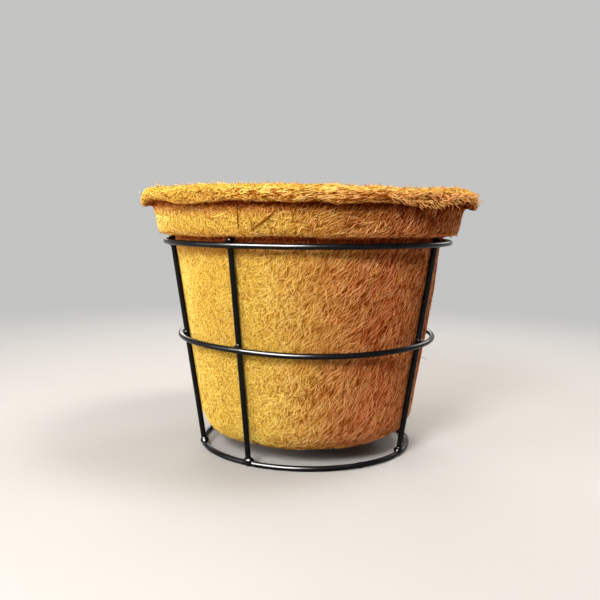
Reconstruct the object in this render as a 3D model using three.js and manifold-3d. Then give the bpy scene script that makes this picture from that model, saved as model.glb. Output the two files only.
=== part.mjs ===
// Moulded coir pot hanging by its collar in a welded wire stand.
// Millimetres, +Z up. The base ring lies on Z = 0, the stand's axis is the Z axis,
// and the wide window between the two front legs faces -Y.
import * as THREE from 'three';
import { mergeVertices } from 'three/addons/utils/BufferGeometryUtils.js';
import Module from 'manifold-3d';

const wasm = await Module();
wasm.setup();

// Stand: wire, rings and legs
const wireDiameter = 4;
const baseRingRadius = 80; // centreline
const middleRingHeight = 85.5; // centreline above the floor
const topRingHeight = 157.4;
const legLean = 8.65; // degrees outwards from upright
const legSpread = 45; // degrees between neighbouring legs, twice that across a window
const legTipRise = 2.7; // leg tip above the top ring's upper side
const seatGap = 0.3; // between pieces that touch

// Welds: how far each bead reaches past the wire's radius, along the ring, across it and along the leg
const ringWeld = { along: 1.6, across: 0.1, upright: 1.2 };
const footWeld = { along: 1.9, across: 1.3, upright: 0.7 };

// Pot: tapered body, collar and raw lip
const potClearance = 0.3; // between the body and the legs
const potFloorGap = 6.8; // underside above the base ring
const potWall = 9;
const potFloorThickness = 9;
const bottomRound = 23;
const collarStep = 10.5; // collar beyond the body, at its lower edge
const collarFlare = 4.2;
const collarHeight = 22.6;
const collarRound = 4.5;
const lipOverhang = 9.4; // lip beyond the collar
const lipThickness = 11.4; // at its crest, over the collar
const lipFall = 3.8; // outer edge below the crest
const lipRound = 3;
const crestRound = 6;
const mouthFall = 1.8; // inner edge below the crest
const mouthRound = 5;
const creaseRound = 2; // inside corners of the felt
const lipWaveHeight = 1.2;
const lipWaveReach = 0.8;

// Waves round the hand-trimmed lip: how many in a turn, their share and where they start, in radians
const riseWaves = [
  { count: 14, share: 0.6, start: 0.6 },
  { count: 6, share: 0.4, start: -1.1 },
];
const reachWaves = [
  { count: 10, share: 0.6, start: 2.1 },
  { count: 16, share: 0.4, start: 0 },
];

// Facets
const turnSegments = 64;
const ringSides = 10;
const legSides = 12;
const tipSteps = 4;
const beadSides = 8;
const beadRows = 5;
const arcSag = 0.4; // how far a rounded corner's facets may lie inside its arc

const degrees = Math.PI / 180;
const lean = legLean * degrees;
const wireRadius = wireDiameter / 2;
const ringCorner = cornerRadius(wireRadius, ringSides);
const legCorner = cornerRadius(wireRadius, legSides);
const legAxisRadius = (z) => baseRingRadius + Math.tan(lean) * (z - wireRadius);
const wrapRadius = (z) => legAxisRadius(z) + (ringCorner + legCorner + seatGap) / Math.cos(lean);

const rings = {
  base: { radius: baseRingRadius, height: wireRadius },
  middle: { radius: wrapRadius(middleRingHeight), height: middleRingHeight },
  top: { radius: wrapRadius(topRingHeight), height: topRingHeight },
};
const legTipHeight = topRingHeight + wireRadius + legTipRise;
const legPlaces = ['front_', '', 'back_']; // counted from the front window to either side
const hands = { left: -1, right: 1 };

const coir = new THREE.MeshStandardMaterial({ color: 0xc9923f, roughness: 0.95, metalness: 0 });
const powderCoat = new THREE.MeshStandardMaterial({ color: 0x17171a, roughness: 0.45, metalness: 0 });

// A revolved solid: the profile holds (radius, height) points, anticlockwise.
function revolve(profile, segments) {
  return new THREE.LatheGeometry(profile, segments).rotateX(Math.PI / 2);
}

// The section radius that keeps a many-sided wire's flats at the true radius.
function cornerRadius(radius, sides) {
  return radius / Math.cos(Math.PI / sides);
}

// A round wire bent into a ring, with a flat facet at its lowest and highest line.
function wireRing({ radius, height }, sectionRadius) {
  const corner = cornerRadius(sectionRadius, ringSides);
  const section = [];
  for (let side = 0; side <= ringSides; side++) {
    const angle = ((side % ringSides) * 2 * Math.PI) / ringSides;
    section.push(new THREE.Vector2(radius + corner * Math.cos(angle), height + corner * Math.sin(angle)));
  }
  return revolve(section, turnSegments);
}

// A straight leg in the front plane, from the base ring's centreline to its domed tip.
function legRod(sectionRadius) {
  const corner = cornerRadius(sectionRadius, legSides);
  const length = (legTipHeight - wireRadius) / Math.cos(lean);
  const profile = [new THREE.Vector2(0, 0), new THREE.Vector2(corner, 0)];
  for (let step = 0; step <= tipSteps; step++) {
    const angle = (step * Math.PI) / 2 / tipSteps;
    const domeRadius = step < tipSteps ? corner * Math.cos(angle) : 0;
    profile.push(new THREE.Vector2(domeRadius, length - corner + corner * Math.sin(angle)));
  }
  return revolve(profile, legSides)
    .rotateX(lean)
    .translate(0, -baseRingRadius, wireRadius);
}

// A weld bead as an ellipsoid in the front plane, leaning with the leg.
function bead(radius, height, { along, across, upright }) {
  return new THREE.SphereGeometry(1, beadSides, beadRows)
    .rotateX(Math.PI / 2)
    .scale(wireRadius + along, wireRadius + across, wireRadius + upright)
    .rotateX(lean)
    .translate(0, -radius, height);
}

// A closed mesh as a solid: shared vertices merged, collapsed triangles dropped.
function toSolid(geometry) {
  const bare = geometry.clone();
  bare.deleteAttribute('normal');
  bare.deleteAttribute('uv');
  const merged = mergeVertices(bare, 1e-4);
  const index = merged.index.array;
  const triangles = [];
  for (let i = 0; i < index.length; i += 3) {
    const [a, b, c] = index.slice(i, i + 3);
    if (a !== b && b !== c && c !== a) triangles.push(a, b, c);
  }
  return new wasm.Manifold(
    new wasm.Mesh({
      numProp: 3,
      vertProperties: Float32Array.from(merged.attributes.position.array),
      triVerts: Uint32Array.from(triangles),
    }),
  );
}

function toGeometry(solid) {
  const { vertProperties, triVerts } = solid.getMesh();
  const geometry = new THREE.BufferGeometry();
  geometry.setAttribute('position', new THREE.Float32BufferAttribute(vertProperties, 3));
  geometry.setIndex(Array.from(triVerts));
  geometry.computeVertexNormals();
  return geometry;
}

// A lathe profile through corners of [radius, height, round], each turned by its own arc.
function roundedProfile(corners) {
  const points = corners.map(([radius, height]) => new THREE.Vector2(radius, height));
  const profile = [];
  corners.forEach(([, , round = 0], i) => {
    if (round === 0) {
      profile.push(points[i]);
      return;
    }
    const back = points[i - 1].clone().sub(points[i]).normalize();
    const onward = points[i + 1].clone().sub(points[i]).normalize();
    const halfAngle = Math.acos(back.dot(onward)) / 2;
    const start = points[i].clone().addScaledVector(back, round / Math.tan(halfAngle));
    const bisector = back.clone().add(onward).normalize();
    const centre = points[i].clone().addScaledVector(bisector, round / Math.sin(halfAngle));
    const turn = (Math.PI - 2 * halfAngle) * Math.sign(onward.cross(back));
    const facetTurn = 2 * Math.acos(1 - arcSag / round);
    const steps = Math.max(2, Math.round(Math.abs(turn) / facetTurn));
    for (let step = 0; step <= steps; step++) {
      profile.push(start.clone().rotateAround(centre, (turn * step) / steps));
    }
  });
  return profile;
}

// The pot: one thickness of felt, stepped out into a collar and turned out into a lip.
function feltPot() {
  const bodyRadius = (z) => legAxisRadius(z) - (legCorner + potClearance) / Math.cos(lean);
  const wallAcross = potWall / Math.cos(lean);

  const underside = wireDiameter + potFloorGap;
  const floorTop = underside + potFloorThickness;
  const collarUnderside = legTipHeight + seatGap;
  const ledge = collarUnderside + potWall; // the step seen from inside
  const lipUnderside = collarUnderside + collarHeight;
  const rim = lipUnderside + lipThickness;
  const mouth = rim - mouthFall;

  const collarRadius = bodyRadius(collarUnderside) + collarStep;
  const collarTopRadius = collarRadius + collarFlare;
  const collarSlope = collarFlare / collarHeight;
  const collarInside = (z) => collarRadius + collarSlope * (z - collarUnderside) - potWall;
  const lipRadius = collarTopRadius + lipOverhang;
  const floorRound = Math.max(bottomRound - potWall, creaseRound);

  const profile = roundedProfile([
    [0, underside],
    [bodyRadius(underside), underside, bottomRound],
    [bodyRadius(collarUnderside), collarUnderside, creaseRound],
    [collarRadius, collarUnderside, collarRound],
    [collarTopRadius, lipUnderside, creaseRound],
    [lipRadius, lipUnderside, lipRound],
    [lipRadius, rim - lipFall, lipRound],
    [collarTopRadius, rim, crestRound],
    [collarInside(mouth), mouth, mouthRound],
    [collarInside(ledge), ledge, creaseRound],
    [bodyRadius(ledge) - wallAcross, ledge, collarRound],
    [bodyRadius(floorTop) - wallAcross, floorTop, floorRound],
    [0, floorTop],
  ]);
  const geometry = revolve(profile, turnSegments);
  return waveLip(geometry, collarTopRadius, lipRadius);
}

// The raw lip is trimmed by hand, so its edge rises, dips and reaches out a little all the way round.
function waveLip(geometry, inner, outer) {
  const swing = (waves, angle) =>
    waves.reduce((sum, { count, share, start }) => sum + share * Math.sin(count * angle + start), 0);
  const place = geometry.attributes.position;
  const point = new THREE.Vector3();
  for (let i = 0; i < place.count; i++) {
    point.fromBufferAttribute(place, i);
    const radius = Math.hypot(point.x, point.y);
    const share = THREE.MathUtils.smoothstep(radius, inner, outer);
    const angle = Math.atan2(point.x, -point.y);
    const rise = share * lipWaveHeight * swing(riseWaves, angle);
    const grown = 1 + (share * lipWaveReach * swing(reachWaves, angle)) / outer;
    place.setXYZ(i, point.x * grown, point.y * grown, point.z + rise);
  }
  return geometry;
}

function piece(name, geometry, material) {
  const mesh = new THREE.Mesh(geometry, material);
  mesh.name = name;
  return mesh;
}

const coirPot = new THREE.Group();
coirPot.add(piece('coir_pot', feltPot(), coir));

const stand = new THREE.Group();
for (const [level, ring] of Object.entries(rings)) {
  stand.add(piece(`${level}_ring`, wireRing(ring, wireRadius), powderCoat));
}

// One leg and its three welds, made in the front plane and turned to each place.
const cutter = (level) => toSolid(wireRing(rings[level], wireRadius + seatGap));
const legCutter = toSolid(legRod(wireRadius + seatGap));
const legGeometry = toGeometry(toSolid(legRod(wireRadius)).subtract(cutter('base')));

const weldGeometry = {};
for (const [level, { radius, height }] of Object.entries(rings)) {
  const atFoot = level === 'base';
  const seatRadius = atFoot ? radius : (radius + legAxisRadius(height)) / 2;
  const seatHeight = atFoot ? height + wireRadius : height;
  const blob = toSolid(bead(seatRadius, seatHeight, atFoot ? footWeld : ringWeld));
  weldGeometry[level] = toGeometry(blob.subtract(cutter(level)).subtract(legCutter));
}

for (const [hand, way] of Object.entries(hands)) {
  legPlaces.forEach((place, i) => {
    const post = new THREE.Group();
    post.rotation.z = way * (i + 1) * legSpread * degrees;
    post.add(piece(`leg_${place}${hand}`, legGeometry, powderCoat));
    for (const level of Object.keys(rings)) {
      post.add(piece(`weld_${level}_${place}${hand}`, weldGeometry[level], powderCoat));
    }
    stand.add(post);
  });
}

const assembly = new THREE.Group();
assembly.add(stand, coirPot);

export default assembly;
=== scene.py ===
import math

import bpy
import numpy as np
from mathutils import Matrix, Vector


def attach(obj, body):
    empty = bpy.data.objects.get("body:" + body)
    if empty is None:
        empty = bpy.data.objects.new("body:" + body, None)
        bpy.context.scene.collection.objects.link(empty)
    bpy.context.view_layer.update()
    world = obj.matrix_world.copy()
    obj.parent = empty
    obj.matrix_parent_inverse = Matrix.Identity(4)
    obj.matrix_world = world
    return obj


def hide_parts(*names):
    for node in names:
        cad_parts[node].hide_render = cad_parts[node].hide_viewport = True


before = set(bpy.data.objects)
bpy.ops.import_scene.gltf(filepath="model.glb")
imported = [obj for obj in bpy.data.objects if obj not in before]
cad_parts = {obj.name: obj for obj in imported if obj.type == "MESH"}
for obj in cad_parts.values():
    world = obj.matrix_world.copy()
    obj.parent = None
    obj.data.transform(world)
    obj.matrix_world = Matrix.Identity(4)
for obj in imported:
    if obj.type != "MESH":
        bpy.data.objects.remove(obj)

mm = 0.001
tiny, small = 1e-6, 1e-4  # lengths under these count as nought
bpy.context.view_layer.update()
bpy.context.scene.view_settings.view_transform = "Standard"
print("frame loaded:", len(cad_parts), "nodes")


class Link:  # one socket in a node tree, for writing shader maths as plain expressions
    def __init__(self, socket):
        self.socket = socket
        self.tree = socket.id_data

    def add(self, kind, settings=None, sockets=None, out=0):
        node = self.tree.nodes.new(kind)
        for name, value in (settings or {}).items():
            if name == "stops":  # of a colour ramp: place and colour
                ramp = node.color_ramp
                while len(ramp.elements) < len(value):
                    ramp.elements.new(1.0)
                for element, (place, colour) in zip(ramp.elements, value):
                    element.position = place
                    element.color = (*colour, 1.0)
            else:
                setattr(node, name, value)
        for name, value in (sockets or {}).items():
            if isinstance(value, Link):
                self.tree.links.new(value.socket, node.inputs[name])
            else:
                node.inputs[name].default_value = value
        return Link(node.outputs[out])

    def other(self, name):  # another output of the same node
        return Link(self.socket.node.outputs[name])

    def reckon(self, operation, first, second=0.0):
        return self.add("ShaderNodeMath", {"operation": operation}, {0: first, 1: second})

    def move(self, operation, *values):  # the same for places
        return self.add("ShaderNodeVectorMath", {"operation": operation}, dict(enumerate(values)))

    def noise(self, scale, detail, roughness=0.5, space="3D", out=0):
        return self.add("ShaderNodeTexNoise", {"noise_dimensions": space}, {
            "Vector": self, "Scale": scale, "Detail": detail, "Roughness": roughness}, out)

    def ease(self, low, high, most=1.0):  # nought at the low value, most at the high one
        return self.add("ShaderNodeMapRange", {"interpolation_type": "SMOOTHSTEP"}, {
            "Value": self, "From Min": low, "From Max": high, "To Max": most})

    def ramp(self, stops):
        return self.add("ShaderNodeValToRGB", {"stops": stops}, {"Fac": self})

    def bump(self, depth, strength=1.0):
        return self.add("ShaderNodeBump", None, {"Strength": strength, "Distance": depth, "Height": self})

    def __add__(self, other):
        return self.reckon("ADD", self, other)

    def __sub__(self, other):
        return self.reckon("SUBTRACT", self, other)

    def __rsub__(self, other):
        return self.reckon("SUBTRACT", other, self)

    def __mul__(self, other):
        return self.reckon("MULTIPLY", self, other)

    def __abs__(self):
        return self.reckon("ABSOLUTE", self)

    __radd__ = __add__
    __rmul__ = __mul__


def newMaterial(name, finish):
    material = bpy.data.materials.new(name)
    material.use_nodes = True
    shader = material.node_tree.nodes["Principled BSDF"]
    for socket, value in finish.items():
        shader.inputs[socket].default_value = value
    return material, shader


def plug(shader, **sockets):
    for name, link in sockets.items():
        shader.id_data.links.new(link.socket, shader.inputs[name.replace("_", " ")])


def placeIn(material):  # where on its object a point is
    return Link(material.node_tree.nodes.new("ShaderNodeTexCoord").outputs["Object"])


def mapOf(material):  # where on its piece's own map a point is
    reader = material.node_tree.nodes.new("ShaderNodeUVMap")
    reader.uv_map = "OFBake"
    return Link(reader.outputs["UV"])


def blend(pair, share):  # of numbers, arrays or links
    return pair[0] + (pair[1] - pair[0]) * share


# Black powder coat on the wire
paint = {
    "finish": {"Specular IOR Level": 0.09},
    "dust": [(0.40, (0.0014, 0.0014, 0.0017)), (0.72, (0.0036, 0.0034, 0.0032))],  # from black to dusty
    "clouds": (90.0, 3.0, 0.6),  # to the metre, detail and roughness of the pattern
    "peel": (1 / (1.1 * mm), 1.0, 0.4),  # the same for the paint's orange peel
    "peelDepth": 0.025 * mm,
    "peelStrength": 0.35,
    "roughness": (0.19, 0.29),  # from glossy to dull
}


def makePowderCoat():
    material, shader = newMaterial("powder_coat_black", paint["finish"])
    place = placeIn(material)
    peel = place.noise(*paint["peel"])
    cloud = place.noise(*paint["clouds"])
    plug(shader, Base_Color=cloud.ramp(paint["dust"]), Roughness=blend(paint["roughness"], cloud),
         Normal=peel.bump(paint["peelDepth"], paint["peelStrength"]))
    return material


# Coir: colours of the felt ground and of the loose strands that lie on it
fairCoir = [  # place on the tone scale and colour, from the gaps to the bleached strands
    (0.00, (0.16, 0.035, 0.002)),
    (0.25, (0.42, 0.165, 0.010)),
    (0.50, (0.63, 0.385, 0.054)),
    (0.75, (0.77, 0.555, 0.098)),
    (1.00, (0.90, 0.735, 0.225)),
]
brownCoir = [  # the same on the browner side, partly browned by weather and partly painted shade
    (0.00, (0.05, 0.005, 0.0005)),
    (0.25, (0.20, 0.027, 0.002)),
    (0.50, (0.42, 0.082, 0.022)),
    (0.75, (0.64, 0.185, 0.060)),
    (1.00, (0.78, 0.340, 0.145)),
]
weatheredAndShadedSides = [  # browner sides, browned by weather, and on the front-right side partly by painted shade: degrees round, the cosines where it starts and is full, and how much
    {"middle": 52, "from": -0.05, "to": 0.95, "share": 1.0},
    {"middle": 178, "from": -0.1, "to": 0.9, "share": 0.45},
]
combing = {"middle": 40, "from": -0.1, "to": 0.8}  # the side with long combed strands
strandCoat = {"Roughness": 0.7, "Specular IOR Level": 0.0}


def mixCoir(tone, brown):  # colour from the two scales, by the Mix node's sockets for colours
    return tone.add("ShaderNodeMix", {"data_type": "RGBA"}, {
        "Factor": brown, 6: tone.ramp(fairCoir), 7: tone.ramp(brownCoir)}, 2)


def makeCoirStrand():  # the strand's map holds its tone across, and how brown it is
    material, shader = newMaterial("coir_strand", strandCoat)
    place = mapOf(material)
    tone = place.add("ShaderNodeSeparateXYZ", None, {"Vector": place})
    plug(shader, Base_Color=mixCoir(tone, tone.other("Y")))
    return material


wirePaint = makePowderCoat()
strandFinish = makeCoirStrand()
print("materials made")


def finishPiece(piece, body, material, nodes=()):
    piece.data.materials.clear()
    piece.data.materials.append(material)
    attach(piece, body)
    if nodes:
        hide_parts(*nodes)


def hang(name, data):  # a new object in the scene
    holder = bpy.data.objects.new(name, data)
    bpy.context.scene.collection.objects.link(holder)
    return holder


def clearPick():
    bpy.ops.object.select_all(action="DESELECT")


def pickOnly(piece):
    clearPick()
    piece.select_set(True)
    bpy.context.view_layer.objects.active = piece


def settle(piece):  # put the object's place and turn into its mesh
    pickOnly(piece)
    bpy.ops.object.transform_apply(location=True, rotation=True, scale=True)


def editMode(on):
    bpy.ops.object.mode_set(mode="EDIT" if on else "OBJECT")


def pick(kind, parts, test):  # leaves edit mode on, with the parts that pass the test selected
    editMode(True)
    bpy.ops.mesh.select_mode(type=kind)
    bpy.ops.mesh.select_all(action="DESELECT")
    editMode(False)
    for part in parts:
        part.select = test(part)
    editMode(True)


def readPlaces(mesh):
    places = np.empty(len(mesh.vertices) * 3)
    mesh.vertices.foreach_get("co", places)
    return places.reshape(-1, 3)


def writePlaces(mesh, places):
    mesh.vertices.foreach_set("co", places.ravel())
    mesh.update()


def writeMap(mesh, across, along):  # the piece's own map
    flatMap = mesh.uv_layers.new(name="OFBake")
    flatMap.data.foreach_set("uv", np.stack([across, along], axis=-1).ravel())


def turnOf(places):  # angle round the stand, from the front towards the right
    return np.arctan2(places[..., 0], -places[..., 1])


def roundTable(table, degrees):  # value there, from pairs of degrees round and value
    return np.interp(degrees, *zip(*table), period=360)


def eased(share):
    return share * share * (3 - 2 * share)


def smoothStep(value, low, high):
    return eased(np.clip((value - low) / (high - low), 0, 1))


noiseCells = 32


def softNoise(places, size, seed):  # smooth lumps of about this size, from -1 to 1
    grid = np.random.default_rng(seed).uniform(-1, 1, (noiseCells,) * 3)
    cell = places / size + 2 * noiseCells
    base = np.floor(cell).astype(int)
    share = eased(cell - base)
    total = np.zeros(places.shape[:-1])
    for corner in np.ndindex(2, 2, 2):
        weight = np.prod(np.where(corner, share, 1 - share), axis=-1)
        i, j, k = np.moveaxis((base + corner) % noiseCells, -1, 0)
        total += weight * grid[i, j, k]
    return total


# The stand: three rings and six legs of round wire, welded
wire = {
    "radius": 2.0,  # mm
    "sides": 20,
    "ringSteps": 420,
    "footRadius": 80.0,  # the legs' foot, on the base ring
    "lean": 8.65,  # degrees
    "legTip": 162.1,
    "tipHeight": 1.4,  # of the leg's end, in wire radii
    "tipSwell": 1.16,  # the cut end is a little mushroomed
    "tip": [(0.4, 1.0), (0.3, 0.96), (0.26, 0.84), (0.2, 0.66), (0.13, 0.42), (0.07, 0.18)],  # rise, width
    "tipCorner": 50,  # degrees, sharper edges than this stay sharp
    "wobbleSize": 45,
    "sagBlend": (8, 9),  # degrees either side and steps that round the sag off
    "floorGap": 0.02,
    "buttWeld": [(2.6, 0.10), (1.8, 0.12), (1.0, 0.10)],  # half width and rise, each on the one before
}
rings = {  # centreline radius and height in mm, degrees to the ring's own butt weld, wobble, and sag
    "base": {"radius": 80.0, "height": 2.0, "seam": 14.0, "wobble": 0.0, "seed": 4, "sag": [(0, 0)]},
    "middle": {"radius": 97.23, "height": 85.5, "seam": 158.0, "wobble": 0.12, "seed": 6, "sag": [
        (-60, -0.5), (-45, -0.1), (-20, 1.2), (5, 1.1), (34, 0.0), (60, -0.5), (180, -0.5)]},
    "top": {"radius": 108.17, "height": 157.4, "seam": -160.0, "wobble": 0.12, "seed": 3, "sag": [
        (-90, 0.7), (-54, 0.6), (-19, 0.2), (22, -0.5), (60, -0.6), (180, -0.3)]},
}
legTurns = {
    "front_left": -45, "front_right": 45, "left": -90, "right": 90, "back_left": -135, "back_right": 135}
lean = math.radians(wire["lean"])


def keepOffFloor(places):
    places[:, 2] = np.maximum(places[:, 2], wire["floorGap"] * mm)


def bendRing(level, ring):
    clearPick()
    bpy.ops.mesh.primitive_torus_add(
        location=(0, 0, ring["height"] * mm), major_radius=ring["radius"] * mm,
        minor_radius=wire["radius"] * mm, major_segments=wire["ringSteps"], minor_segments=wire["sides"])
    piece = bpy.context.object
    piece.name = level + "_wire_ring"
    settle(piece)
    seam = math.radians(ring["seam"])
    for halfWidth, rise in wire["buttWeld"]:
        reach = halfWidth / ring["radius"]
        pick("VERT", piece.data.vertices, lambda vertex: math.cos(
            math.atan2(vertex.co.x, -vertex.co.y) - seam) > math.cos(reach))
        bpy.ops.transform.shrink_fatten(value=rise * mm)
        editMode(False)
    places = readPlaces(piece.data)
    sway = ring["wobble"] * mm * softNoise(places * (1, 1, 0), wire["wobbleSize"] * mm, ring["seed"])
    places *= 1 + (sway / np.hypot(places[:, 0], places[:, 1]))[:, None] * (1, 1, 0)
    degrees = np.degrees(turnOf(places))
    spread, steps = wire["sagBlend"]
    for aside in np.linspace(-spread, spread, steps):
        places[:, 2] -= roundTable(ring["sag"], degrees + aside) * mm / steps
    keepOffFloor(places)
    writePlaces(piece.data, places)
    pickOnly(piece)
    bpy.ops.object.shade_smooth()
    finishPiece(piece, "stand", wirePaint, [level + "_ring"])


def cutLeg():  # one leg, upright, then leaned out over its foot at the front
    radius = wire["radius"] * mm
    length = (wire["legTip"] - wire["radius"]) * mm / math.cos(lean)
    straight = length - wire["tipHeight"] * radius
    clearPick()
    bpy.ops.mesh.primitive_cylinder_add(
        vertices=wire["sides"], radius=radius, depth=straight, location=(0, 0, straight / 2))
    leg = bpy.context.object
    settle(leg)
    pick("VERT", leg.data.vertices, lambda vertex: vertex.co.z > straight - tiny)
    bpy.ops.mesh.select_mode(type="FACE")
    width = 1.0
    for rise, share in wire["tip"]:
        nextWidth = wire["tipSwell"] * share
        bpy.ops.mesh.extrude_region_move(TRANSFORM_OT_translate={"value": (0, 0, rise * radius)})
        bpy.ops.transform.resize(value=(nextWidth / width, nextWidth / width, 1))
        width = nextWidth
    bpy.ops.mesh.merge(type="CENTER")
    editMode(False)
    bpy.ops.object.shade_smooth_by_angle(angle=math.radians(wire["tipCorner"]))
    leg.rotation_euler = (lean, 0, 0)
    leg.location = (0, -wire["footRadius"] * mm, radius)
    settle(leg)
    return leg


welds = {
    "reach": {  # of the bead past the wire's radius along the ring, across it and along the leg, in mm
        "base": (1.9, 1.3, 0.7), "middle": (1.6, 0.1, 1.2), "top": (1.6, 0.1, 1.2)},
    "sides": 24,
    "rows": 16,
    "stub": 3,  # mm of wire past the bead, both ends together
    "grain": 0.42,
    "smoothing": 0.6,
    "rounds": 5,
}


def legRadiusAt(height):
    return wire["footRadius"] + math.tan(lean) * (height - wire["radius"])


def layWeld(level):  # bead and short stubs of both wires, run together into one fillet
    ring = rings[level]
    along, across, upright = (wire["radius"] + reach for reach in welds["reach"][level])
    atFoot = level == "base"
    height = ring["height"] + (wire["radius"] if atFoot else 0)
    beadRadius = ring["radius"] if atFoot else (ring["radius"] + legRadiusAt(height)) / 2
    clearPick()
    bpy.ops.mesh.primitive_uv_sphere_add(
        segments=welds["sides"], ring_count=welds["rows"], radius=mm,
        location=(0, -beadRadius * mm, height * mm), rotation=(lean, 0, 0), scale=(along, across, upright))
    parts = [bpy.context.object]
    for reach, radius, up, turn in (
            (along, ring["radius"], ring["height"], (0, math.pi / 2, 0)),
            (upright, legRadiusAt(height), height, (lean, 0, 0))):
        bpy.ops.mesh.primitive_cylinder_add(
            vertices=welds["sides"], radius=wire["radius"] * mm, depth=(2 * reach + welds["stub"]) * mm,
            location=(0, -radius * mm, up * mm), rotation=turn)
        parts.append(bpy.context.object)
    for part in parts:
        part.select_set(True)
    bpy.ops.object.join()  # into the last one
    weld = bpy.context.object
    settle(weld)
    for kind, values in (
            ("REMESH", {"mode": "VOXEL", "voxel_size": welds["grain"] * mm}),
            ("SMOOTH", {"factor": welds["smoothing"], "iterations": welds["rounds"]})):
        modifier = weld.modifiers.new(kind.lower(), kind)
        for name, value in values.items():
            setattr(modifier, name, value)
        bpy.ops.object.modifier_apply(modifier=modifier.name)
    bpy.ops.object.shade_smooth()
    places = readPlaces(weld.data)
    keepOffFloor(places)
    writePlaces(weld.data, places)
    return weld


def placeRound(model, name, angle, node, drop):  # a copy with its own mesh, turned to its leg
    pickOnly(model)
    bpy.ops.object.duplicate()
    piece = bpy.context.object
    piece.name = name
    piece.rotation_euler = (0, 0, math.radians(angle))
    piece.location.z -= drop * mm
    settle(piece)
    finishPiece(piece, "stand", wirePaint, [node])


for level, ring in rings.items():
    bendRing(level, ring)
models = [("leg", cutLeg(), [(0, 0)])]  # with the sag that each one follows
models += [("weld_" + level, layWeld(level), ring["sag"]) for level, ring in rings.items()]
for side, angle in legTurns.items():
    for kind, model, sag in models:
        placeRound(model, kind + "_wire_" + side, angle, kind + "_" + side, roundTable(sag, angle))
for kind, model, sag in models:
    bpy.data.objects.remove(model)
print("stand made:", len(legTurns), "legs")


# The pot: one thickness of felt, drawn as a section and spun round
pot = {
    "corners": [  # radius, height and round in mm, from the middle of the underside round to the inside
        (0, 10.8, 0), (78.5, 10.8, 23), (101.5, 162.5, 2.2), (112.8, 162.5, 5.2), (117.4, 186.4, 2.2),
        (126.0, 184.6, 2.2), (126.0, 192.2, 4.2), (117.4, 196.0, 6), (110.9, 194.2, 5), (106.8, 172, 3),
        (94.36, 172, 5), (71.16, 19.5, 11), (0, 19.5, 0)],
    "around": 264,
    "lots": 40,  # the vertices are matched to the section in lots, to save memory
    "spacing": [  # mm along the section, and the step there
        (0, 5.0), (70, 2.6), (225, 2.4), (245, 1.1), (325, 1.1), (350, 3.6), (600, 6.0)],
    "lumps": [(15, 0.5, 3), (5.5, 0.18, 4)],  # size, height in mm and seed
    "lipLumps": [(9, 0.5, 5), (3.2, 0.16, 6)],
    "bulge": 1.3,  # between the legs
    "bulgeLow": (-15, 25),  # where it starts and is full, past the bottom edge
    "bulgeHigh": (-45, -6),  # and fades, before the crease
    "bulgeAside": (3, 26),  # and how far from a leg
    "dent": 0.25,  # where a leg presses
    "dentWidth": 5,
    "lipReach": (117.4, 126.0),  # radius at the lip's root and edge
    "lipFade": 8,  # mm past the mouth
    "waveReach": 0.8,
    "waves": [(10, 0.6, 2.1), (16, 0.4, 0.0)],  # how many in a turn, share and start, as on the solid
    "rootSag": 0.8,  # how much of the torn edge's drop the lip's root takes
    "rootHeight": 12,
    "hemRound": (6, 4),  # mm past the crease, and below the lip
}
lipTop = [  # degrees round and mm that the hand-trimmed lip drops there, along its top
    (-94, 2.3), (-84, 2.1), (-72, 1.6), (-60, 0.9), (-50, 0.3), (-38, -0.2), (-18, 0.1), (0, 0.2),
    (8, 0.5), (13, 1.2), (20, 1.1), (27, 0.3), (40, 0.0), (55, 0.2), (68, 0.8), (90, -0.4), (112, 0.6),
    (138, -0.3), (160, 0.9), (185, -0.2), (212, 0.7), (240, 0.0)]
lipTorn = [  # and along its torn lower edge
    (-97, 3.2), (-89, 2.6), (-83, -1.6), (-77, -3.0), (-71, -2.4), (-66, -1.8), (-60, 1.2), (-51, 0.6),
    (-45, -0.6), (-38, -2.0), (-32, -1.3), (-26, -1.4), (-18, -1.2), (-11, -2.5), (-7, 0.4), (-1, -1.8),
    (7, -2.2), (12, -1.4), (17, 0.2), (24, 1.4), (29, 0.2), (32, -0.6), (36, -1.6), (42, -4.2), (50, -3.4),
    (57, -0.4), (64, 2.6), (75, 1.2), (90, -0.8), (104, 0.9), (118, -1.0), (131, -0.2), (146, 1.3),
    (160, -1.2), (172, 0.6), (186, -0.8), (199, 1.0), (212, -0.6), (228, 0.9), (243, -1.1), (256, 0.2)]
collarHem = [  # degrees round and mm that the collar's lower edge rises there
    (-60, 0.0), (-48, 0.3), (-35, 1.0), (-20, 1.6), (0, 1.9), (25, 2.2), (40, 1.6), (50, 1.2), (70, 0.9),
    (100, 0.2), (130, 0.5), (160, -0.1), (200, 0.5), (235, 0.0), (270, 0.3)]


def roundedSection(corners, step=0.1, arcSteps=40):  # the outline as close points, its corners as arcs
    points = [np.array(corner[:2], float) for corner in corners]
    outline = []
    for i, corner in enumerate(corners):
        if corner[2] == 0:
            outline.append(points[i])
            continue
        back = points[i - 1] - points[i]
        onward = points[i + 1] - points[i]
        back, onward = back / np.linalg.norm(back), onward / np.linalg.norm(onward)
        half = math.acos(back @ onward) / 2
        start = points[i] + back * corner[2] / math.tan(half)
        bisector = (back + onward) / np.linalg.norm(back + onward)
        centre = points[i] + bisector * corner[2] / math.sin(half)
        arm = start - centre
        turn = (math.pi - 2 * half) * np.sign(onward[0] * back[1] - onward[1] * back[0])
        for share in np.linspace(0, 1, arcSteps):
            c, s = math.cos(turn * share), math.sin(turn * share)
            outline.append(centre + (c * arm[0] - s * arm[1], s * arm[0] + c * arm[1]))
    outline = np.array(outline)
    along = np.concatenate([[0], np.cumsum(np.hypot(*np.diff(outline, axis=0).T))])
    even = np.arange(0, along[-1], step)
    radius, height = (np.interp(even, along, outline[:, i]) for i in (0, 1))
    slope = np.stack([np.gradient(radius), np.gradient(height)])
    slope /= np.hypot(*slope)
    return even, radius, height, slope[1], -slope[0]  # the last two point out of the felt


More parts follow.
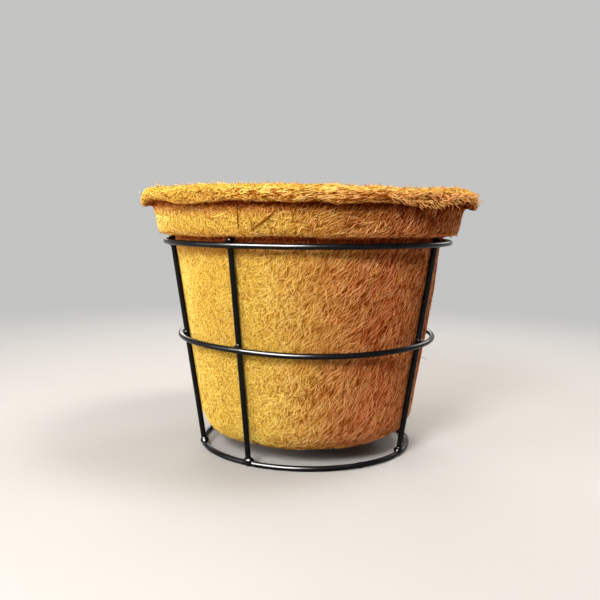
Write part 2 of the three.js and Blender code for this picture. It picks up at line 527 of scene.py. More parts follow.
section = roundedSection(pot["corners"])


def alongAt(radius, height):  # how far along the section a point of it is
    return section[0][np.argmin((section[1] - radius) ** 2 + (section[2] - height) ** 2)]


marks = {
    "middle": 3.0,
    "bottom": alongAt(74, 14),
    "crease": alongAt(101.5, 162.7),
    "collarLow": alongAt(111.4, 163.8),
    "collarTop": alongAt(117.4, 186.4),
    "lipLow": alongAt(125.4, 185.2),
    "lipHigh": alongAt(124.0, 192.6),
    "crest": alongAt(117.4, 195.4),
    "mouth": alongAt(111.1, 192),
    "ledge": alongAt(106.8, 172),
    "step": alongAt(94.5, 171),
    "end": section[0][-1],
}
paintedCreaseShade = [("crease", 0.5, 4.5), ("collarTop", 0.9, 3.4)]  # painted shade, darker and browner, under the collar and under the lip: where, how much, how far in mm
print("section, mm along:", {name: round(float(value), 1) for name, value in marks.items()})


def radiusAt(along):
    return np.interp(along, section[0], section[1])


def swing(waves, angle):
    return sum(share * np.sin(count * angle + start) for count, share, start in waves)


def lumpy(places, lumps):
    return sum(depth * softNoise(places, size, seed) for size, depth, seed in lumps)


def turnedOut(ray, radius, height):
    return np.concatenate([ray * radius[..., None], height[..., None]], axis=-1)


def pastMark(along, mark, span):  # eased over a span in mm from a mark
    return smoothStep(along, marks[mark] + span[0], marks[mark] + span[1])


def feltPlace(along, angle, lift=0.0):  # points on the matted felt, mm along the section and round it
    radius, height, outR, outZ = (np.interp(along, section[0], column) for column in section[1:])
    ray = np.stack([np.sin(angle), -np.cos(angle)], axis=-1)
    plain = turnedOut(ray, radius, height)
    onTop = smoothStep(along, marks["lipLow"], marks["lipHigh"])
    beforeMouth = 1 - smoothStep(along, marks["crest"], marks["mouth"] + pot["lipFade"])
    onLip = smoothStep(along, marks["collarTop"], marks["lipLow"]) * beforeMouth
    rise = lumpy(plain, pot["lumps"]) + onLip * lumpy(plain, pot["lipLumps"])

    onBody = pastMark(along, "bottom", pot["bulgeLow"]) * (1 - pastMark(along, "crease", pot["bulgeHigh"]))
    legAway = np.min([np.abs((angle - math.radians(turn) + math.pi) % (2 * math.pi) - math.pi)
                      for turn in legTurns.values()], axis=0) * radius
    nearLeg = np.exp(-(legAway / pot["dentWidth"]) ** 2) * (along < marks["crease"])
    bulge = onBody * pot["bulge"] * smoothStep(legAway, *pot["bulgeAside"])
    rise = rise * (1 - nearLeg) + bulge - pot["dent"] * nearLeg + lift

    degrees = np.degrees(angle)
    top, torn, hem = (roundTable(edge, degrees) for edge in (lipTop, lipTorn, collarHem))
    outOnLip = smoothStep(radius, *pot["lipReach"])
    root = pot["rootSag"] * pastMark(along, "collarTop", (-pot["rootHeight"], 0)) * (along < marks["crest"])
    drop = np.where(torn > 0, np.maximum(outOnLip, root), outOnLip) * torn
    hemStart, hemEnd = pot["hemRound"]
    hem = hem * pastMark(along, "crease", (0, hemStart)) * (
        1 - smoothStep(along, marks["collarLow"], marks["collarTop"] - hemEnd))
    radius = radius + outR * rise + outOnLip * pot["waveReach"] * swing(pot["waves"], angle)
    height = height + outZ * rise + hem - onTop * beforeMouth * top - (1 - onTop) * drop
    return turnedOut(ray, radius, height) * mm, turnedOut(ray, outR, outZ), legAway


felt = {
    "finish": {"Roughness": 0.9, "Specular IOR Level": 0.0},
    "mapSize": (628.0, 550.0, 0.0),  # mm that the map stands for, round the wall and along the section
    "strands": [  # heading in degrees, width and length in mm of each family of strands in the ground
        (57, 0.95, 8), (38, 1.0, 7), (80, 0.95, 7), (118, 1.0, 5), (152, 1.0, 5), (8, 1.0, 6)],
    "shift": (37.0, 91.0),  # mm between the families' patterns
    "fineness": 13,
    "curl": 3.2,  # mm
    "curlSize": 11.0,
    "relief": 0.5 * mm,
    "darkest": 0.05,
    "toneSpan": 0.42,
    "patches": (1 / 9, 4.0, 0.7),  # to the mm, detail and roughness of the pattern
    "patchTone": (0.75, 1.25),
    "hiddenBrown": 0.55,  # inside and underneath
    "underneath": (-4, -24),  # mm from the bottom edge
    "fairLift": 0.11,  # the ground on the fair side is that much paler, partly painted light on the lit side
    "pits": (0.30, 0.95),  # how much of the ground lies dark between its strands, painted shade in the gaps
    "creaseShadeReach": (1.6, 4.0),  # how far the painted shade along a crease darkens and browns the ground
}


def makeCoirFelt():  # reads the felt's own map, so that the strands follow the wall
    material, shader = newMaterial("coir_felt", felt["finish"])
    flat = mapOf(material)
    place = flat.move("MULTIPLY", flat, felt["mapSize"])
    stir = place.noise(1 / felt["curlSize"], 1.0, space="2D", out="Color")
    stir = stir.move("SUBTRACT", stir, (0.5,) * 3)
    bent = place.move("MULTIPLY_ADD", stir, (2 * felt["curl"],) * 3, place)
    strands = None
    for i, (heading, width, length) in enumerate(felt["strands"]):
        turned = place.add("ShaderNodeMapping", {"vector_type": "TEXTURE"}, {
            "Vector": bent, "Location": (*(i * shift for shift in felt["shift"]), 0),
            "Rotation": (0, 0, math.radians(heading)), "Scale": (length, width, 1)})
        ridge = 1 - abs(turned.noise(1.0, 0.0, space="2D") - 0.5) * felt["fineness"]
        strands = ridge if strands is None else place.reckon("MAXIMUM", strands, ridge)
    strands = strands.ease(*felt["pits"])
    patch = place.noise(*felt["patches"], "2D")
    around = flat.add("ShaderNodeSeparateXYZ", None, {"Vector": flat})
    reach = around.other("Y") * marks["end"]
    inside = reach.ease(marks["mouth"], marks["ledge"])
    underneath = reach.ease(*(marks["bottom"] + past for past in felt["underneath"]))
    # browner sides: browned by weather, and on the front-right side partly by painted shade
    brown = 0.0
    for side in weatheredAndShadedSides:
        facing = place.reckon("COSINE", (around - 0.5) * (2 * math.pi) - math.radians(side["middle"]))
        brown = place.reckon("MAXIMUM", brown, facing.ease(side["from"], side["to"], side["share"]))
    brown = brown + (felt["hiddenBrown"] - brown) * (inside + underneath)
    # the ground stays darker than the loose strands on it: painted shade under and between them
    tone = strands * felt["toneSpan"] * blend(felt["patchTone"], patch)
    tone = tone + felt["fairLift"] * (1 - brown)
    # painted shade: the ground darkens and browns along the crease under the collar and under the lip
    for fold, depth, width in paintedCreaseShade:
        away = abs(reach - marks[fold])
        shade, shadeBrown = (away.ease(spread * width, 0.0) for spread in felt["creaseShadeReach"])
        tone = tone * (1 - depth * shade)
        brown = place.reckon("MAXIMUM", brown, shadeBrown)
    colour = mixCoir(tone + felt["darkest"], brown)
    plug(shader, Base_Color=colour, Normal=strands.bump(felt["relief"]))
    return material


def drawSection(points):  # a vertex drawn out along the outline
    clearPick()
    bpy.ops.mesh.primitive_plane_add(
        size=mm, location=(points[0][0] * mm, 0, points[0][1] * mm), calc_uvs=False)
    piece = bpy.context.object
    settle(piece)
    editMode(True)
    bpy.ops.mesh.select_mode(type="VERT")
    bpy.ops.mesh.select_all(action="SELECT")
    bpy.ops.mesh.merge(type="CENTER")
    for step in np.diff(points, axis=0) * mm:
        bpy.ops.mesh.extrude_vertices_move(TRANSFORM_OT_translate={"value": (step[0], 0, step[1])})
    return piece


def spinPot():
    stations = [0.0]
    while stations[-1] < marks["end"]:
        stations.append(stations[-1] + np.interp(stations[-1], *zip(*pot["spacing"])))
    stations = np.array(stations) * marks["end"] / stations[-1]
    outline = np.stack([np.interp(stations, section[0], section[i]) for i in (1, 2)], axis=1)
    outline[[0, -1], 0] = 0
    piece = drawSection(outline)
    piece.name = "coir_felt_pot"
    bpy.ops.mesh.select_all(action="SELECT")
    bpy.ops.mesh.spin(steps=pot["around"], angle=2 * math.pi, center=(0, 0, 0), axis=(0, 0, 1))
    bpy.ops.mesh.select_all(action="SELECT")
    bpy.ops.mesh.remove_doubles(threshold=tiny)
    bpy.ops.mesh.normals_make_consistent(inside=False)
    editMode(False)
    mesh = piece.data
    places = readPlaces(mesh)
    angle = turnOf(places)
    flat = np.stack([np.hypot(places[:, 0], places[:, 1]), places[:, 2]], axis=1) / mm
    nearest = np.concatenate([np.argmin(((part[:, None] - outline[None]) ** 2).sum(-1), axis=1)
                              for part in np.array_split(flat, pot["lots"])])
    writePlaces(mesh, feltPlace(stations[nearest], angle)[0])
    bpy.ops.object.shade_smooth()
    layMap(mesh, angle, stations[nearest] / marks["end"], flat[:, 0] < small)
    finishPiece(piece, "pot", feltFinish, ["coir_pot"])


def layMap(mesh, angle, reach, pole):  # the felt's own map: round the pot, and along its section
    corners = np.empty(len(mesh.loops), int)
    mesh.loops.foreach_get("vertex_index", corners)
    starts = np.empty(len(mesh.polygons), int)
    mesh.polygons.foreach_get("loop_start", starts)
    owner = np.repeat(np.arange(len(starts)), np.diff(np.append(starts, len(corners))))
    across = angle[corners] / (2 * math.pi) + 0.5
    high = np.zeros(len(starts))
    np.maximum.at(high, owner, np.where(pole[corners], 0, across))
    across = np.where(high[owner] - across > 0.5, across + 1, across)
    across = np.where(pole[corners], high[owner], across)
    spread = pot["around"] / (pot["around"] + 2)
    writeMap(mesh, across * spread, reach[corners])


feltFinish = makeCoirFelt()
spinPot()
print("felt pot spun")


# Loose strands: one strand modelled, then laid along its path again and again
strand = {
    "sides": 3,
    "levels": 4,
    "endDark": (0.10, 4),  # how much darker the ends are, and the power that keeps it to them
    "mapWidth": 0.004,
    "mapLimits": (0.01, 0.99),
    "seed": 100,  # of the first piece
}
levelShare = np.linspace(-0.5, 0.5, strand["levels"])


def rollStrand():
    clearPick()
    bpy.ops.mesh.primitive_cylinder_add(vertices=strand["sides"], radius=1, depth=1, location=(0, 0, 0.5))
    model = bpy.context.object
    settle(model)
    mesh = model.data
    pick("EDGE", mesh.edges, lambda edge: len({round(mesh.vertices[i].co.z) for i in edge.vertices}) == 2)
    bpy.ops.mesh.subdivide(number_cuts=strand["levels"] - 2)
    editMode(False)
    for end in (0, 1):  # both ends run out to points
        pick("VERT", mesh.vertices, lambda vertex: abs(vertex.co.z - end) < small)
        bpy.ops.mesh.merge(type="CENTER")
        editMode(False)
    places = readPlaces(mesh)
    faces = [list(face.vertices) for face in mesh.polygons]
    bpy.data.objects.remove(model)
    return places, faces


strandPlaces, strandFaces = rollStrand()
strandLevel = np.rint(strandPlaces[:, 2] * (strand["levels"] - 1)).astype(int)


def unit(vectors):
    return vectors / (np.linalg.norm(vectors, axis=2, keepdims=True) + 1e-12)  # never by nought


def layStrands(name, paths, outward, width, tone, brown):  # paths: strand, level, xyz in metres
    run = unit(np.gradient(paths, axis=1))
    side = unit(np.cross(run, outward))
    upward = np.cross(side, run)
    thick = (width * mm / 2)[:, None, None]
    places = (paths[:, strandLevel] + side[:, strandLevel] * strandPlaces[None, :, :1] * thick
              + upward[:, strandLevel] * strandPlaces[None, :, 1:2] * thick)
    count, size = len(paths), len(strandPlaces)
    corners = np.concatenate(strandFaces)
    sizes = np.array([len(face) for face in strandFaces])
    mesh = bpy.data.meshes.new(name)
    mesh.vertices.add(count * size)
    mesh.vertices.foreach_set("co", places.ravel())
    mesh.loops.add(count * len(corners))
    mesh.loops.foreach_set("vertex_index", (corners[None] + np.arange(count)[:, None] * size).ravel())
    mesh.polygons.add(count * len(sizes))
    mesh.polygons.foreach_set("loop_start", np.concatenate([[0], np.cumsum(np.tile(sizes, count))[:-1]]))
    mesh.update(calc_edges=True)
    mesh.validate()
    mesh.shade_smooth()
    across, reach = strandPlaces[corners, 0], strandPlaces[corners, 2] - 0.5
    endDark, power = strand["endDark"]
    ends = endDark * (2 * reach) ** power
    writeMap(mesh, np.clip(tone[:, None] - ends, *strand["mapLimits"]) + across * strand["mapWidth"] / 2,
             np.clip(brown, *strand["mapLimits"])[:, None] + reach * strand["mapWidth"])
    finishPiece(hang(name, mesh), "pot", strandFinish)
    print(name, count, "strands")


# Matted strands: pairs run from the tangled side of the pot to the combed one, whose lower tone on the body
# and collar is partly painted shade, those of lift and width from deep in the mat to its top, and those of
# brown from the fair side to the browner one, which is partly painted shade
bodyHeading = 58  # degrees from level
lipHeading = {"front": 14, "brush": -30, "from": (4, 34), "to": (78, 105)}  # a brush, down at the right
bodyMat = {
    "heading": "body", "sway": 14, "swaySize": 40, "scatter": (75, 18), "length": (3.2, 10.0),
    "curl": (1.8, 0.6), "lift": (-0.2, 0.5), "loose": 0.01, "flyaway": 0.9, "width": (0.38, 0.48),
    "thick": (1.0, 0.82), "tone": (0.705, 0.56), "layerShade": (0.26, 0.62), "spread": (0.10, 0.24),
    "tufts": (0.03, 0.02), "dark": (0.07, 0.15), "brown": (0.0, 1.0), "topLit": 0}
hiddenMat = {
    "heading": "body", "sway": 60, "swaySize": 34, "thick": (1, 1), "tone": (0.55, 0.55),
    "layerShade": (0.35, 0.35), "spread": (0.18, 0.18), "tufts": (0.08, 0.08), "dark": (0.06, 0.06),
    "brown": (0.55, 0.55), "topLit": 0}
patches = {
    "body": bodyMat,
    "collar": dict(
        bodyMat, sway=24, swaySize=28, scatter=(70, 20), length=(3.6, 9.0), lift=(-0.2, 0.55), loose=0.03,
        flyaway=1.0, width=(0.38, 0.50), tone=(0.77, 0.61), layerShade=(0.28, 0.58), spread=(0.11, 0.24),
        tufts=(0.05, 0.06)),
    "lip": {
        "heading": "lip", "sway": 22, "swaySize": 26, "scatter": (55, 12), "length": (3.6, 7.5),
        "curl": (1.2, 0.3), "lift": (-0.2, 0.9), "loose": 0.25, "flyaway": 1.3, "width": (0.34, 0.46),
        "thick": (0.95, 1.4), "tone": (0.56, 0.60), "layerShade": (0.26, 0.52), "spread": (0.12, 0.22),
        "tufts": (0.08, 0.5), "dark": (0.17, 0.55), "brown": (0.0, 0.9), "topLit": 1},
    "lipFace": {
        "heading": "lip", "sway": 16, "swaySize": 26, "scatter": (14, 9), "length": (8, 11),
        "curl": (0.5, 0.3), "lift": (0.2, 0.9), "loose": 0.05, "flyaway": 1.0, "width": (0.44, 0.56),
        "thick": (1, 1.1), "tone": (0.62, 0.70), "layerShade": (0.2, 0.3), "spread": (0.12, 0.16),
        "tufts": (0.1, 0.1), "dark": (0.3, 0.6), "brown": (0.2, 0.7), "topLit": 0},
    "inside": dict(
        hiddenMat, scatter=(75, 40), length=(6, 10), curl=(2.0, 1.0), lift=(-0.1, 0.6), loose=0.05,
        flyaway=1.2, width=(0.4, 0.6)),
    "underside": dict(
        hiddenMat, scatter=(75, 60), length=(8, 10), curl=(2.0, 1.2), lift=(-0.1, 0.5), loose=0.04,
        flyaway=0.9, width=(0.5, 0.9)),
}
mat = {
    "evenSteps": (0.7548776662, 0.5698402910, 0.6180339887),  # steps that fill a patch evenly
    "stations": 400,  # along the patch, to reckon its area
    "wallRadius": 100,  # mm, of the flattened wall that the clouds lie on
    "lengthSpread": 0.3,
    "wave": 0.35, "waveTurns": 9, "waveStart": 6.28,
    "waveCombed": 0.8,  # that much less on the combed side
    "edge": 0.5,  # mm kept from the section's ends
    "poleRadius": 6,
    "endLift": 0.3, "endDive": 0.2,  # share of the lift that a strand's ends keep, and mm that they dive
    "flyaway": 0.6, "flyHold": 0.1, "flyRise": 2.8,  # least lift of a loose end in mm, and how it stands up
    "legClear": (2.2, 7),  # strands nearer to a leg than this lie flat
    "legLift": 0.3,
    "widthSpread": (0.85, 1.15),
    "swaySeed": 11,
    "clouds": (0.06, 22, 12),  # tone, size in mm and seed
    "brownClouds": (0.12, 9, 13),
    "tufts": (2.6, 14),  # size in mm and seed
    "tuftShape": (0.7, 1.0, 1.0),
    "brownSpread": 0.10,
    "topLight": (-5, 2),  # mm from the lip's upper edge, where painted top light makes it paler and fairer
    "topLightTone": 0.12, "topLightFair": 0.5, "topLightDark": 0.6,
    "innerBrown": 0.3,  # of the lip's inner side
    "innerSpan": (3, 2),  # mm past the lip's upper edge and past its crest
    "foot": (15, 75),  # mm from the bottom edge, where painted warm bounce light makes the wall paler and browner
    "footGlowTone": 0.10, "footGlowBrown": 0.08,
    # painted shade along the crease: how much on the tangled and combed sides, and how much wider its
    # browning reaches
    "creaseShadeTone": (0.6, 1.0), "creaseShadeBrown": 2.4,
    "darkTone": (0.5, 0.25), "darkBrown": 0.75,
    "pale": 0.94, "paleTone": (0.42, 0.92),  # the share beyond this is bleached
}


def sideShare(angle, side):  # one in the middle of that side of the pot, nought on the other
    return smoothStep(np.cos(angle - math.radians(side["middle"])), side["from"], side["to"])


# how brown each side is: browned by weather, and on the front-right side partly by painted shade
def weatheredAndShaded(angle):
    return np.max([side["share"] * sideShare(angle, side) for side in weatheredAndShadedSides], axis=0)


def headingAt(patch, angle):  # degrees from level
    if patch["heading"] == "body":
        return bodyHeading
    degrees = np.degrees(angle)
    share = smoothStep(degrees, *lipHeading["from"]) * (1 - smoothStep(degrees, *lipHeading["to"]))
    return blend((lipHeading["front"], lipHeading["brush"]), share)


def strandCourse(rng, patch, along, angle, order, spot):  # mm along and angle round, at each level
    count = len(along)
    sway = patch["sway"] * softNoise(spot, patch["swaySize"], mat["swaySeed"])
    heading = np.radians(headingAt(patch, angle) + sway)
    heading = heading + np.radians(blend(patch["scatter"], order)) * rng.normal(0, 1, count)
    length = blend(patch["length"], order) * np.exp(rng.normal(0, mat["lengthSpread"], count))
    curl = blend(patch["curl"], order) * rng.normal(0, 1, count)
    wave = rng.normal(0, mat["wave"], count) * (1 - mat["waveCombed"] * order)
    start = rng.uniform(0, mat["waveStart"], count)
    turn = heading[:, None] + curl[:, None] * levelShare + wave[:, None] * np.sin(
        mat["waveTurns"] * levelShare + start[:, None])
    step = length[:, None] / (len(levelShare) - 1)
    courses = (np.cumsum(step * way(turn), axis=1) for way in (np.cos, np.sin))
    across, up = (course - course.mean(1, keepdims=True) for course in courses)
    reach = np.clip(along[:, None] + up, mat["edge"], marks["end"] - mat["edge"])
    return reach, angle[:, None] + across / np.maximum(radiusAt(reach), mat["poleRadius"])


def strandLift(rng, patch, layer):  # mm off the felt at each level: up from it and back into it
    count = len(layer)
    arch = 1 - (2 * levelShare) ** 2
    lift = blend(patch["lift"], layer)[:, None] * blend((mat["endLift"], 1), arch)
    lift = lift - mat["endDive"] * (1 - arch)
    loose = (rng.uniform(0, 1, count) < patch["loose"])[:, None]
    end = np.where(rng.uniform(0, 1, count) < 0.5, 1, -1)[:, None]
    flight = rng.uniform(mat["flyaway"], patch["flyaway"], count)[:, None]
    return lift + loose * flight * np.maximum(0, end * levelShare + mat["flyHold"]) ** 2 * mat["flyRise"]


def strandColour(rng, patch, along, angle, order, layer, spot):  # place on the tone scale, and how brown
    count = len(along)
    cloud, brownCloud = (
        depth * softNoise(spot, size, seed) for depth, size, seed in (mat["clouds"], mat["brownClouds"]))
    # strands deeper in the mat darker and those on top paler: painted shade and light by depth
    tone = blend(patch["tone"], order) + cloud + blend(patch["layerShade"], order) * (layer - 0.5)
    tone = tone + blend(patch["spread"], order) * rng.normal(0, 1, count)
    tone = tone + blend(patch["tufts"], order) * softNoise(spot * mat["tuftShape"], *mat["tufts"])
    brown = blend(patch["brown"], weatheredAndShaded(angle)) + brownCloud + rng.normal(0, mat["brownSpread"], count)
    # painted top light along the lip's upper edge: paler, fairer and with fewer dark strands
    topLight = patch["topLit"] * pastMark(along, "lipHigh", mat["topLight"])
    tone, brown = tone + mat["topLightTone"] * topLight * order, brown * (1 - mat["topLightFair"] * topLight)
    inner = smoothStep(along, marks["lipHigh"] + mat["innerSpan"][0], marks["crest"] + mat["innerSpan"][1])
    brown = brown + mat["innerBrown"] * inner * (along < marks["ledge"])
    # painted warm bounce light near the bottom edge, on the combed side
    foot = order * (1 - pastMark(along, "bottom", mat["foot"]))
    tone, brown = tone + mat["footGlowTone"] * foot, brown + mat["footGlowBrown"] * foot
    # painted shade: strands darken and brown along the crease under the collar and under the lip
    for fold, depth, spread in paintedCreaseShade:
        away = (along - marks[fold]) / spread
        tone = tone * (1 - depth * blend(mat["creaseShadeTone"], order) * np.exp(-away ** 2))
        brown = np.maximum(brown, np.exp(-(away / mat["creaseShadeBrown"]) ** 2))
    odd = rng.uniform(0, 1, count)
    dark = odd < blend(patch["dark"], order) * (1 - mat["topLightDark"] * topLight)
    pale = np.where(odd > mat["pale"], blend(mat["paleTone"], tone), tone)
    tone = np.where(dark, tone * blend(mat["darkTone"], order), pale)
    return tone, np.where(dark, np.maximum(brown, mat["darkBrown"]), brown)


def mattedPaths(rng, patch, count, ends, turn):
    stations = np.linspace(*(marks[end] for end in ends), mat["stations"])
    area = np.cumsum(radiusAt(stations))
    steps = [step * np.arange(count) for step in mat["evenSteps"]]
    along = np.interp((0.5 + steps[0]) % 1 * area[-1], area, stations)
    angle = np.radians(blend(turn, (0.5 + steps[1]) % 1))
    layer = steps[2] % 1  # from deep in the mat to lying on top of it
    order = sideShare(angle, combing)
    spot = np.stack([angle * mat["wallRadius"], along, np.zeros(count)], axis=1)
    reach, turned = strandCourse(rng, patch, along, angle, order, spot)
    lift = strandLift(rng, patch, layer)
    legAway = feltPlace(reach, turned)[2]
    free = np.where(reach < marks["crease"], smoothStep(legAway, *mat["legClear"]), 1)
    lift = lift * free + np.minimum(lift, mat["legLift"]) * (1 - free)
    paths, outward, legAway = feltPlace(reach, turned, lift)
    width = blend(patch["width"], layer) * blend(patch["thick"], order)
    width = width * rng.uniform(*mat["widthSpread"], count)
    return paths, outward, width, *strandColour(rng, patch, along, angle, order, layer, spot)


bodySides = [  # how many strands, and where round the pot they start, in degrees
    ("front_left", 14000, -75), ("front", 13000, -15), ("right", 12000, 45), ("back_right", 13000, 105),
    ("back", 14000, 165), ("left", 14000, -135)]
strandPieces = [  # piece, patch, how many, where along the section, and where round it in degrees
    *(("body_" + side, "body", count, ("bottom", "crease"), (turn, turn + 360 / len(bodySides)))
      for side, count, turn in bodySides),
    ("collar", "collar", 15000, ("crease", "collarTop"), (-180, 180)),
    ("lip_front", "lip", 13500, ("collarTop", "mouth"), (-105, 75)),
    ("lip_back", "lip", 13500, ("collarTop", "mouth"), (75, 255)),
    ("lip_face", "lipFace", 1250, ("lipLow", "lipHigh"), (100, 372)),
    ("inside_wall", "inside", 4500, ("mouth", "step"), (-180, 180)),
    ("inside", "inside", 6000, ("step", "end"), (-180, 180)),
    ("underside", "underside", 1300, ("middle", "bottom"), (-180, 180)),
]
for i, (name, kind, count, ends, turn) in enumerate(strandPieces):
    rng = np.random.default_rng(strand["seed"] + i)
    layStrands("coir_strands_" + name, *mattedPaths(rng, patches[kind], count, ends, turn))


# Loose ends that stand off the edges
stray = {
    "seed": 77,
    "legClear": 8,  # mm
    "sideways": (0.2, 1.2),  # least and most share of the way round
    "upward": (0.6, 0.6),  # middle and spread of the share of the way up
    "outward": (0.8, 0.5),
    "offFelt": 0.35,
    "bend": 0.35,
    "rooted": 0.12,  # share of the length that is in the felt
    "toneSpread": 0.12,
    "brownSpread": 0.1,
}
strayKinds = {
    "any": {"turn": (-180, 180), "back": 0.5, "width": (0.32, 0.48), "tone": 0.58},
    "brush": {"turn": (8, 60), "back": 0.0, "width": (0.5, 0.7), "tone": 0.90},  # at the right, lighter: painted light where the bristles catch the light
}
strayEdges = [  # kind, count, where along, spread, length in mm, way round, up and out, how brown; below the top edge they are browner, a painted warm shadow tint
    ("any", 4600, ("lipHigh", "crest"), 3.0, (1.6, 3.8), (0.7, 1.1, 0.2), (0.0, 0.25)),
    ("brush", 330, ("lipLow", "lipHigh"), 1.5, (4.0, 7.0), (1.0, -0.5, 0.3), (0.35, 0.68)),
    ("any", 40, ("lipHigh", "crest"), 3.0, (4.0, 7.0), (1.0, 0.6, 0.4), (0.0, 0.25)),
    ("any", 2200, ("lipLow", "lipLow"), 1.2, (0.8, 2.2), (1.0, -0.3, 0.5), (0.2, 0.7)),
    ("any", 500, ("collarLow", "collarLow"), 3.0, (1.2, 3.4), (1.0, -0.4, 0.4), (0.3, 1.0)),
    ("any", 260, ("bottom", "bottom"), 5.0, (1.2, 3.0), (1.0, -0.7, 0.3), (0.1, 0.9)),
    ("any", 300, ("bottom", "collarTop"), 4.0, (1.5, 3.5), (0.9, 0.3, 0.4), (0.1, 1.0)),
]


def strayPaths(rng, kind, count, ends, spread, lengths, parts, browns):
    edge = strayKinds[kind]
    low, high = (marks[end] for end in ends)
    along = rng.uniform(low, high + tiny, count) + rng.normal(0, spread / 2, count)
    angle = np.radians(rng.uniform(*edge["turn"], count))
    root, outward, legAway = feltPlace(along, angle)
    keep = (legAway > stray["legClear"]) | (along > marks["crease"])
    angle, root, outward = angle[keep], root[keep], outward[keep]
    count = len(angle)
    hand = np.where(rng.uniform(0, 1, count) < edge["back"], -1, 1)
    shares = [hand * rng.uniform(*stray["sideways"], count), rng.normal(*stray["upward"], count),
              rng.normal(*stray["outward"], count)]
    level = 0 * angle
    axes = [np.stack([np.cos(angle), np.sin(angle), level], axis=1), np.array([[0, 0, 1]]),
            np.stack([np.sin(angle), -np.cos(angle), level], axis=1)]  # round, up and out
    way = sum((share * part)[:, None] * axis for share, part, axis in zip(shares, parts, axes))
    way = way + stray["offFelt"] * outward
    way /= np.linalg.norm(way, axis=1, keepdims=True)
    bend = np.cross(way, rng.normal(0, 1, (count, 3)))
    length = rng.uniform(*lengths, count) * mm
    share = levelShare + 0.5
    curve = rng.normal(0, stray["bend"], count)[:, None] * share ** 2
    paths = root[:, None] + length[:, None, None] * (
        way[:, None] * (share[None, :, None] - stray["rooted"]) + bend[:, None] * curve[:, :, None])
    outward = np.repeat(outward[:, None], len(share), axis=1)
    tone = edge["tone"] + rng.normal(0, stray["toneSpread"], count)
    brown = blend(browns, weatheredAndShaded(angle)) + rng.normal(0, stray["brownSpread"], count)
    return paths, outward, rng.uniform(*edge["width"], count), tone, brown


longBow = {"aside": 0.06, "endLift": 0.25, "stations": 200}
longStrands = [  # from and to: degrees round and mm up; then mm off the felt, tone, how brown, width
    (-35.5, 164.2, -24.5, 182, 1.4, 0.15, 0.4, 1.4), (-38.5, 165, -38, 184, 1.2, 0.2, 0.4, 1.1),
    (-49, 174.5, -41.5, 178.5, 1.0, 0.82, 0.1, 1.1), (-44, 165.5, -39.5, 182, 0.6, 0.7, 0.1, 0.8),
    (-27, 166.5, -20, 179, 0.6, 0.72, 0.3, 0.8), (-13, 164.5, -5, 180, 0.6, 0.7, 0.5, 0.8),
    (60, 165.5, 70, 181, 0.6, 0.75, 0.8, 0.8), (110, 167, 121, 180, 0.6, 0.7, 0.5, 0.9),
    (190, 165.5, 184, 181, 0.6, 0.72, 0.2, 0.9), (232, 166, 243, 180, 0.6, 0.72, 0.1, 0.9)]


def longPaths():
    share = levelShare + 0.5
    fromTurn, fromUp, toTurn, toUp, lift, tone, brown, width = (
        np.array(column)[:, None] for column in zip(*longStrands))
    bow = np.sin(math.pi * share)
    angle = np.radians(blend((fromTurn, toTurn), share + longBow["aside"] * bow))
    height = blend((fromUp, toUp), share)
    collarAlong = np.linspace(marks["collarLow"], marks["collarTop"], longBow["stations"])
    along = np.interp(height, np.interp(collarAlong, section[0], section[2]), collarAlong)
    paths, outward, legAway = feltPlace(along, angle, lift * blend((longBow["endLift"], 1), bow))
    return paths, outward, width[:, 0], tone[:, 0], brown[:, 0]


strayRng = np.random.default_rng(stray["seed"])
strays = [strayPaths(strayRng, *edge) for edge in strayEdges] + [longPaths()]
layStrands("coir_strands_loose_ends", *(np.concatenate(column) for column in zip(*strays)))


# Floor, lights and camera
paper = {
    "radius": 6,
    "sides": 96,
    "finish": {"Roughness": 0.9, "Specular IOR Level": 0.0},
    "colour": (0.44, 0.437, 0.433),
    "grain": 6.0,  # to the metre
    "tint": [(0.3, 0.99), (0.7, 1.01)],
    "fade": (0.28, 0.95),  # metres out, where the floor turns into the backdrop
}
studio = {
    "backdrop": 0.56,
    "backdropColour": (0.98, 0.98, 0.97, 1.0),
    "ambient": 0.11,
    "ambientColour": (1.0, 0.68, 0.42, 1.0),
    "aim": (0, 0, 0.1),
}
lamps = {  # degrees round from the front and above the level, metres away, width and height, watts, colour
    "key": (-36, 31, 1.2, (0.34, 0.34), 17.5, (1.0, 0.97, 0.94)),
    "left": (-86, 10, 1.3, (0.9, 0.6), 15, (1.0, 0.97, 0.93)),
    "right": (60, 68, 1.3, (0.4, 0.4), 10.5, (1.0, 0.94, 0.86)),
    "above": (0, 84, 1.4, (0.9, 0.9), 4.5, (1.0, 0.95, 0.88)),
    "back": (176, 25, 1.4, (0.9, 0.7), 15, (1.0, 0.97, 0.93)),
    "backRight": (118, 26, 1.4, (0.6, 0.6), 8, (1.0, 0.97, 0.93)),
    "shine": (-50, 36, 1.2, (1.1, 0.8), 560, (1.0, 0.98, 0.97)),
}
camera = {
    "at": (-0.1596, -0.5795, 0.1791),
    "lens": 46.46,
    "sensor": 36,
    "heading": -14.88,  # degrees
    "pitch": 6.47,  # below level
    "roll": 0.8,
}


def showBackdrop(surface, kind, output, share=1.0):  # to the camera, and in the object's own shine
    seen = surface.add("ShaderNodeLightPath", out="Is Camera Ray")
    seen = seen + seen.other("Is Glossy Ray") + seen.other("Is Transmission Ray")
    glow = surface.add(kind, None, {"Color": studio["backdropColour"], "Strength": studio["backdrop"]})
    both = surface.add("ShaderNodeMixShader", None, {0: seen * share, 1: surface, 2: glow})
    surface.tree.links.new(both.socket, surface.tree.nodes[output].inputs["Surface"])


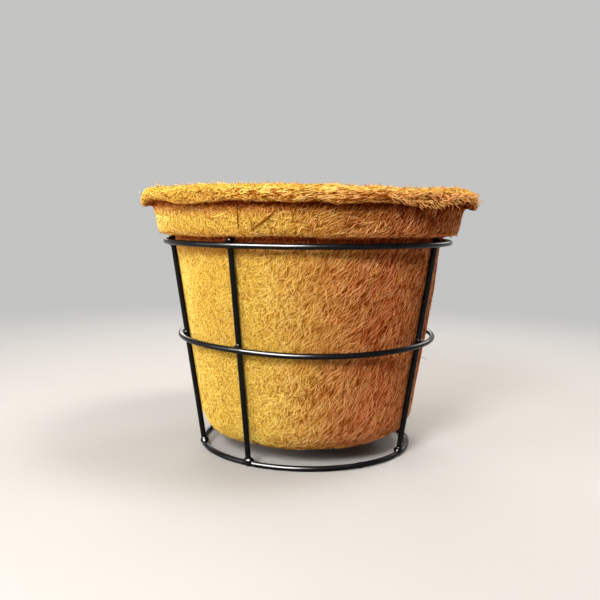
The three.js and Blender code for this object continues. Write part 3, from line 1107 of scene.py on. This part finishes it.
def layFloor():
    clearPick()
    bpy.ops.mesh.primitive_circle_add(
        vertices=paper["sides"], radius=paper["radius"], fill_type="NGON", location=(0, 0, 0))
    floor = bpy.context.object
    floor.name = "studio_floor"
    material, shader = newMaterial("floor_paper", paper["finish"])
    place = placeIn(material)
    tint = [(at, tuple(channel * level for channel in paper["colour"])) for at, level in paper["tint"]]
    plug(shader, Base_Color=place.noise(paper["grain"], 2.0).ramp(tint))
    away = place.add("ShaderNodeVectorMath", {"operation": "LENGTH"}, {0: place}, "Value")
    far = away.ease(*paper["fade"])
    showBackdrop(Link(shader.outputs[0]), "ShaderNodeEmission", "Material Output", far)
    floor.data.materials.append(material)


def setWorld():
    world = bpy.data.worlds.new("studio")
    bpy.context.scene.world = world
    world.use_nodes = True
    ambient = world.node_tree.nodes["Background"]
    ambient.inputs["Color"].default_value = studio["ambientColour"]
    ambient.inputs["Strength"].default_value = studio["ambient"]
    showBackdrop(Link(ambient.outputs[0]), "ShaderNodeBackground", "World Output")


def hangLamps():
    for name, (turn, rise, away, size, watts, colour) in lamps.items():
        light = bpy.data.lights.new("studio_" + name, "AREA")
        light.shape = "RECTANGLE"
        light.size, light.size_y = size
        light.energy = watts
        light.color = colour
        holder = hang("studio_" + name, light)
        turn, rise = math.radians(turn), math.radians(rise)
        way = Vector((math.sin(turn) * math.cos(rise), -math.cos(turn) * math.cos(rise), math.sin(rise)))
        holder.location = way * away + Vector(studio["aim"])
        holder.rotation_euler = way.to_track_quat("Z", "Y").to_euler()
        holder.visible_diffuse = name != "shine"  # that panel only shows in the wire's gloss


def setCamera():
    lens = bpy.data.cameras.new("photo_camera")
    lens.lens = camera["lens"]
    lens.sensor_width = camera["sensor"]
    holder = hang("photo_camera", lens)
    turns = [(camera["heading"], "Z"), (90 - camera["pitch"], "X"), (camera["roll"], "Z")]
    turn, tilt, roll = (Matrix.Rotation(math.radians(angle), 4, axis) for angle, axis in turns)
    holder.rotation_euler = (turn @ tilt @ roll).to_euler()
    holder.location = camera["at"]
    bpy.context.scene.camera = holder


layFloor()
setWorld()
hangLamps()
setCamera()
print("studio set")
